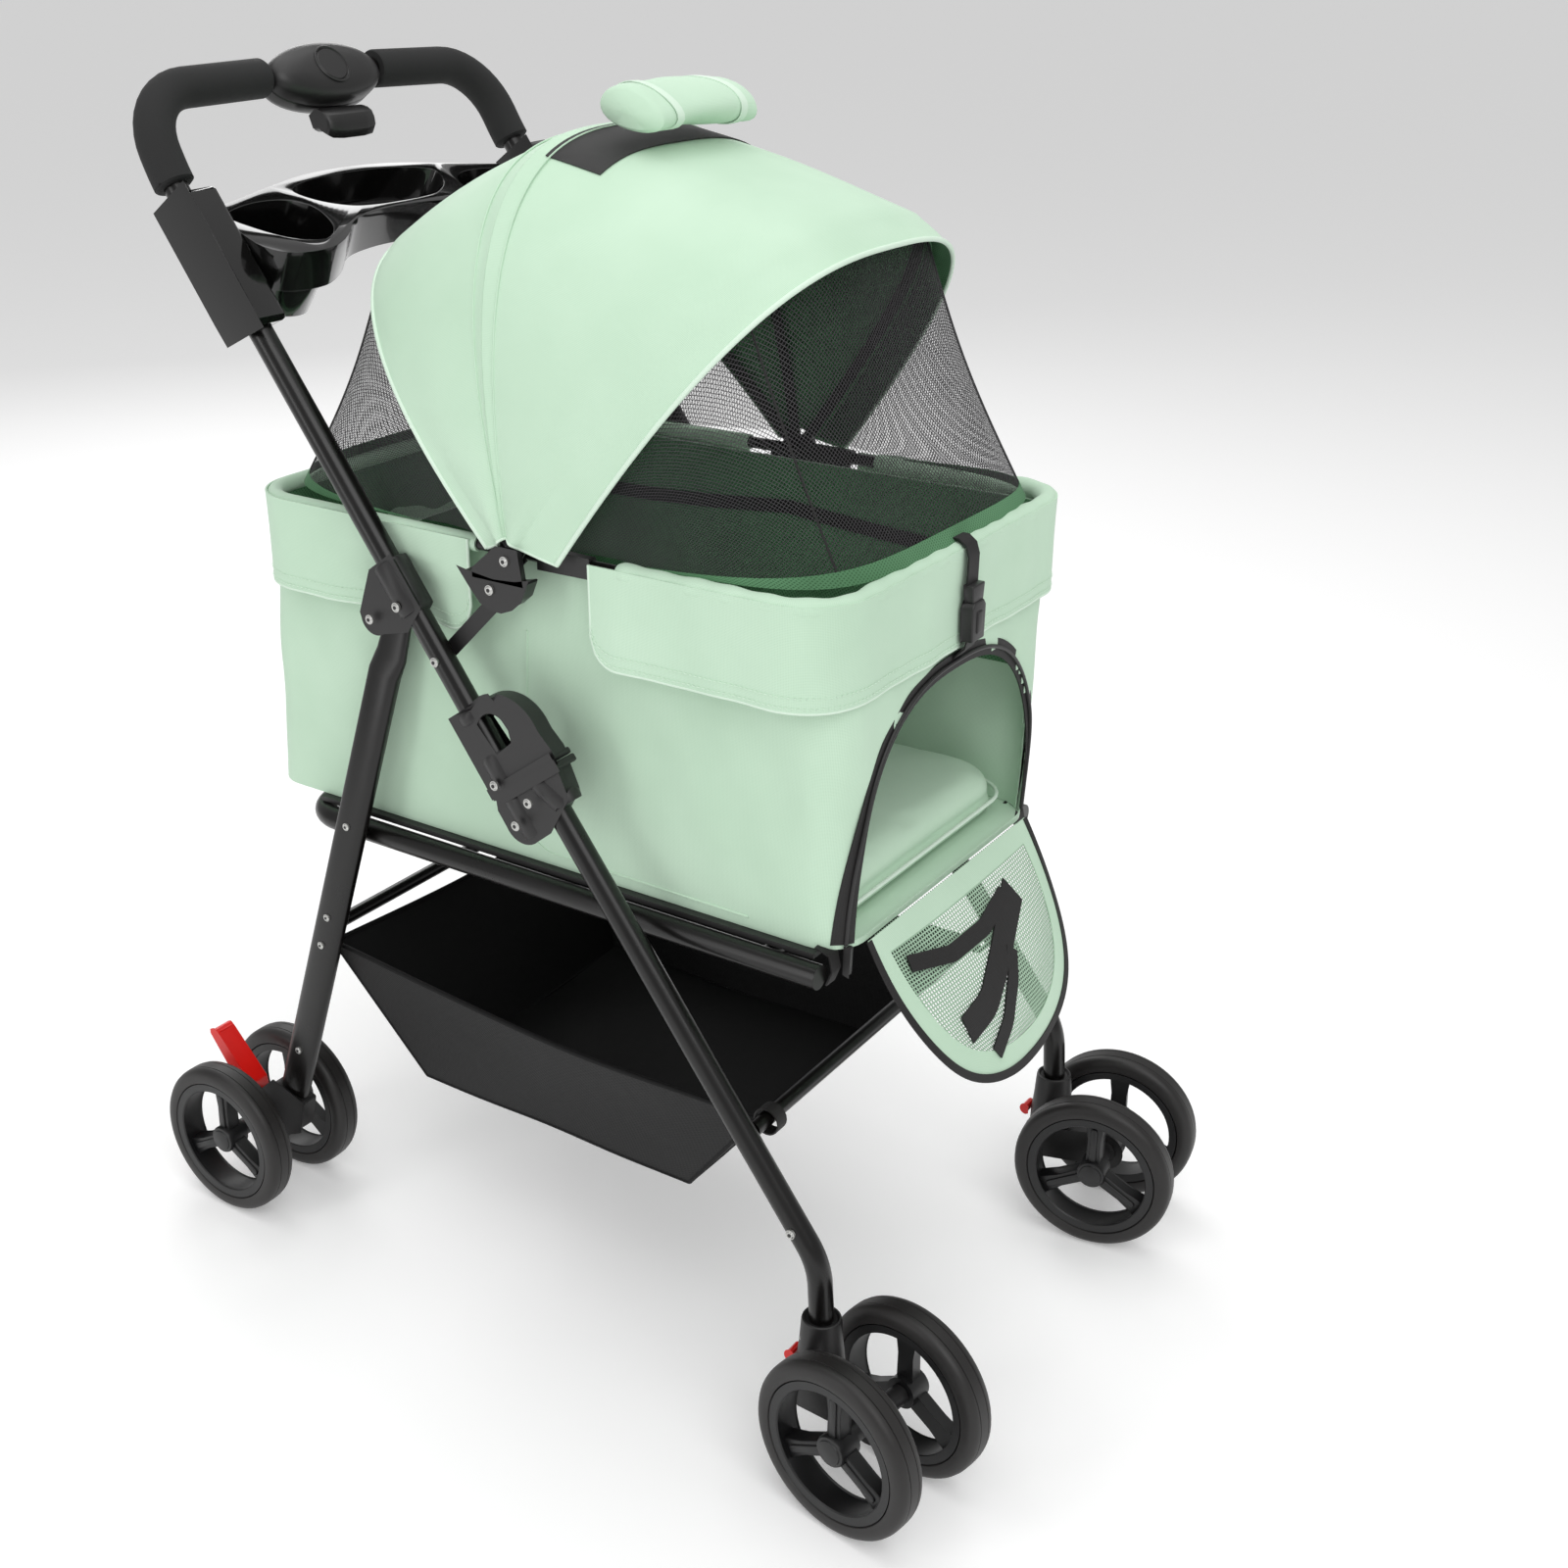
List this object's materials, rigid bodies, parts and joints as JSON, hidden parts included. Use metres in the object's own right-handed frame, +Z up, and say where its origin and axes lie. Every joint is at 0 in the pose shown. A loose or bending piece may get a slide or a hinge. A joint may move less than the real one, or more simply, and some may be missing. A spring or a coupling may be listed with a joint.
{
  "type": "folding pet stroller",
  "caption": "Folding pet stroller: tube frame on twin wheels, fabric cabin with hooped canopy and mesh, basket below, cup tray and console on the handle",
  "frame": {"origin": "on the ground, under the middle of the overall box", "axes": "+Z up, -Y is the direction the stroller faces, +X is its left"},
  "size_m": [0.542, 0.8087, 1.0039],
  "materials": {
    "black_paint": "satin powder coat",
    "black_plastic": "fine grain",
    "gloss_plastic": "polished",
    "foam": "matt closed-cell foam",
    "tyre": "matt foam tyre",
    "red_plastic": "glossy red",
    "mint_fabric": "plain woven polyester",
    "green_mesh": "fine net",
    "grey_mesh": "fine net",
    "basket_cloth": "black woven nylon"
  },
  "bodies": {
    "base": {"lower_frame": "black_paint", "floor_board": "black_plastic", "cabin": "mint_fabric", "cushion": "mint_fabric", "basket": "basket_cloth"},
    "door": {"door_flap": "green_mesh"},
    "rear_legs": {"rear_leg_right": "black_paint", "rear_leg_left": "black_paint", "rear_housing_right": "black_plastic", "rear_housing_left": "black_plastic", "rear_cross_tube": "black_paint"},
    "front_legs": {"front_leg_right": "black_paint", "front_leg_left": "black_paint", "latch_lower_right": "black_plastic", "latch_lower_left": "black_plastic", "caster_socket_right": "black_plastic", "caster_socket_left": "black_plastic", "basket_crossbar": "black_paint"},
    "handle": {"handle_frame": "black_paint", "foam_grip_right": "foam", "foam_grip_left": "foam", "console": "black_plastic", "tray": "gloss_plastic", "leg_bracket_right": "black_plastic", "leg_bracket_left": "black_plastic", "canopy_hinge_right": "black_plastic", "canopy_hinge_left": "black_plastic"},
    "trigger": {"fold_trigger": "black_plastic"},
    "rim": {"rim_frame": "mint_fabric", "canopy_hood": "mint_fabric", "front_mesh": "grey_mesh", "rear_mesh": "grey_mesh"},
    "canopy_front": {"canopy_rib_front": "black_plastic"},
    "canopy_main": {"canopy_rib_main": "black_plastic"},
    "canopy_rear": {"canopy_rib_rear": "black_plastic"},
    "latch_right": {"latch_slider_right": "black_plastic"},
    "brake_right": {"brake_pedal_right": "red_plastic"},
    "caster_right": {"caster_fork_right": "black_plastic"},
    "lock_right": {"caster_lock_right": "red_plastic"},
    "wheel_rear_right_inner": {"wheel_rear_right_inner": "black_plastic", "tyre_rear_right_inner": "tyre"},
    "wheel_front_right_inner": {"wheel_front_right_inner": "black_plastic", "tyre_front_right_inner": "tyre"},
    "wheel_rear_right_outer": {"wheel_rear_right_outer": "black_plastic", "tyre_rear_right_outer": "tyre"},
    "wheel_front_right_outer": {"wheel_front_right_outer": "black_plastic", "tyre_front_right_outer": "tyre"},
    "latch_left": {"latch_slider_left": "black_plastic"},
    "brake_left": {"brake_pedal_left": "red_plastic"},
    "caster_left": {"caster_fork_left": "black_plastic"},
    "lock_left": {"caster_lock_left": "red_plastic"},
    "wheel_rear_left_inner": {"wheel_rear_left_inner": "black_plastic", "tyre_rear_left_inner": "tyre"},
    "wheel_front_left_inner": {"wheel_front_left_inner": "black_plastic", "tyre_front_left_inner": "tyre"},
    "wheel_rear_left_outer": {"wheel_rear_left_outer": "black_plastic", "tyre_rear_left_outer": "tyre"},
    "wheel_front_left_outer": {"wheel_front_left_outer": "black_plastic", "tyre_front_left_outer": "tyre"}
  },
  "joints": [
    {"name": "frame_fold", "type": "hinge", "parent": "base", "child": "front_legs", "pos_m": [0, -0.111, 0.391], "axis": [1, 0, 0], "range_deg": [0, 90], "deforming": ["cabin", "basket", "cushion"]},
    {"name": "rear_leg_fold", "type": "hinge", "parent": "base", "child": "rear_legs", "pos_m": [0, 0.2047, 0.391], "axis": [1, 0, 0], "range_deg": [0, 41.5]},
    {"name": "handle_fold", "type": "hinge", "parent": "front_legs", "child": "handle", "pos_m": [0, -0.0155, 0.47], "axis": [1, 0, 0], "range_deg": [-130.69, 0]},
    {"name": "rim_fold", "type": "hinge", "parent": "handle", "child": "rim", "pos_m": [0, -0.003, 0.668], "axis": [1, 0, 0], "range_deg": [0, 40.69]},
    {"name": "canopy_fold", "type": "hinge", "parent": "rim", "child": "canopy_front", "pos_m": [0, -0.003, 0.668], "axis": [-1, 0, 0], "range_deg": [0, 96], "deforming": ["canopy_hood", "front_mesh", "rear_mesh"]},
    {"name": "canopy_main_fold", "type": "hinge", "parent": "rim", "child": "canopy_main", "pos_m": [0, -0.003, 0.668], "axis": [-1, 0, 0], "range_deg": [0, 57.7]},
    {"name": "canopy_rear_fold", "type": "hinge", "parent": "rim", "child": "canopy_rear", "pos_m": [0, -0.003, 0.668], "axis": [-1, 0, 0], "range_deg": [0, 31.8]},
    {"name": "door_swing", "type": "hinge", "parent": "base", "child": "door", "pos_m": [0, -0.2635, 0.4092], "axis": [-1, 0, 0], "range_deg": [0, 130]},
    {"name": "trigger_squeeze", "type": "hinge", "parent": "handle", "child": "trigger", "pos_m": [0, 0.33648, 0.95031], "axis": [1, 0, 0], "range_deg": [0, 14], "stiffness_Nm_per_rad": 0.6, "springref_deg": -11.46},
    {"name": "latch_slide_right", "type": "slide", "parent": "handle", "child": "latch_right", "axis": [0, 0.5906, 0.807], "range_m": [0, 0.025], "stiffness_N_per_m": 250, "springref_m": -0.012},
    {"name": "brake_press_right", "type": "hinge", "parent": "rear_legs", "child": "brake_right", "pos_m": [-0.183, 0.3407, 0.1], "axis": [-1, 0, 0], "range_deg": [0, 18]},
    {"name": "caster_swivel_right", "type": "hinge", "parent": "front_legs", "child": "caster_right", "pos_m": [-0.2, -0.2765, 0.08], "axis": [0, 0, 1], "continuous": true},
    {"name": "caster_lock_flip_right", "type": "hinge", "parent": "front_legs", "child": "lock_right", "pos_m": [-0.2, -0.256, 0.0885], "axis": [1, 0, 0], "range_deg": [0, 25]},
    {"name": "spin_rear_right_inner", "type": "hinge", "parent": "rear_legs", "child": "wheel_rear_right_inner", "pos_m": [-0.1415, 0.3347, 0.07], "axis": [1, 0, 0], "continuous": true},
    {"name": "spin_front_right_inner", "type": "hinge", "parent": "caster_right", "child": "wheel_front_right_inner", "pos_m": [-0.16657, -0.33357, 0.07], "axis": [0.989, -0.1478, 0], "continuous": true},
    {"name": "spin_rear_right_outer", "type": "hinge", "parent": "rear_legs", "child": "wheel_rear_right_outer", "pos_m": [-0.2245, 0.3347, 0.07], "axis": [1, 0, 0], "continuous": true},
    {"name": "spin_front_right_outer", "type": "hinge", "parent": "caster_right", "child": "wheel_front_right_outer", "pos_m": [-0.24866, -0.3213, 0.07], "axis": [0.989, -0.1478, 0], "continuous": true},
    {"name": "latch_slide_left", "type": "slide", "parent": "handle", "child": "latch_left", "axis": [0, 0.5906, 0.807], "range_m": [0, 0.025], "stiffness_N_per_m": 250, "springref_m": -0.012},
    {"name": "brake_press_left", "type": "hinge", "parent": "rear_legs", "child": "brake_left", "pos_m": [0.183, 0.3407, 0.1], "axis": [-1, 0, 0], "range_deg": [0, 18]},
    {"name": "caster_swivel_left", "type": "hinge", "parent": "front_legs", "child": "caster_left", "pos_m": [0.2, -0.2765, 0.08], "axis": [0, 0, 1], "continuous": true},
    {"name": "caster_lock_flip_left", "type": "hinge", "parent": "front_legs", "child": "lock_left", "pos_m": [0.2, -0.256, 0.0885], "axis": [1, 0, 0], "range_deg": [0, 25]},
    {"name": "spin_rear_left_inner", "type": "hinge", "parent": "rear_legs", "child": "wheel_rear_left_inner", "pos_m": [0.1415, 0.3347, 0.07], "axis": [1, 0, 0], "continuous": true},
    {"name": "spin_front_left_inner", "type": "hinge", "parent": "caster_left", "child": "wheel_front_left_inner", "pos_m": [0.16657, -0.33357, 0.07], "axis": [0.989, 0.1478, 0], "continuous": true},
    {"name": "spin_rear_left_outer", "type": "hinge", "parent": "rear_legs", "child": "wheel_rear_left_outer", "pos_m": [0.2245, 0.3347, 0.07], "axis": [1, 0, 0], "continuous": true},
    {"name": "spin_front_left_outer", "type": "hinge", "parent": "caster_left", "child": "wheel_front_left_outer", "pos_m": [0.24866, -0.3213, 0.07], "axis": [0.989, 0.1478, 0], "continuous": true}
  ],
  "couplings": [
    {"joint": "rear_leg_fold", "follows": "frame_fold", "ratio": 0.461},
    {"joint": "handle_fold", "follows": "frame_fold", "ratio": -1.452},
    {"joint": "rim_fold", "follows": "frame_fold", "ratio": 0.452},
    {"joint": "canopy_main_fold", "follows": "canopy_fold", "ratio": 0.6},
    {"joint": "canopy_rear_fold", "follows": "canopy_fold", "ratio": 0.33}
  ]
}
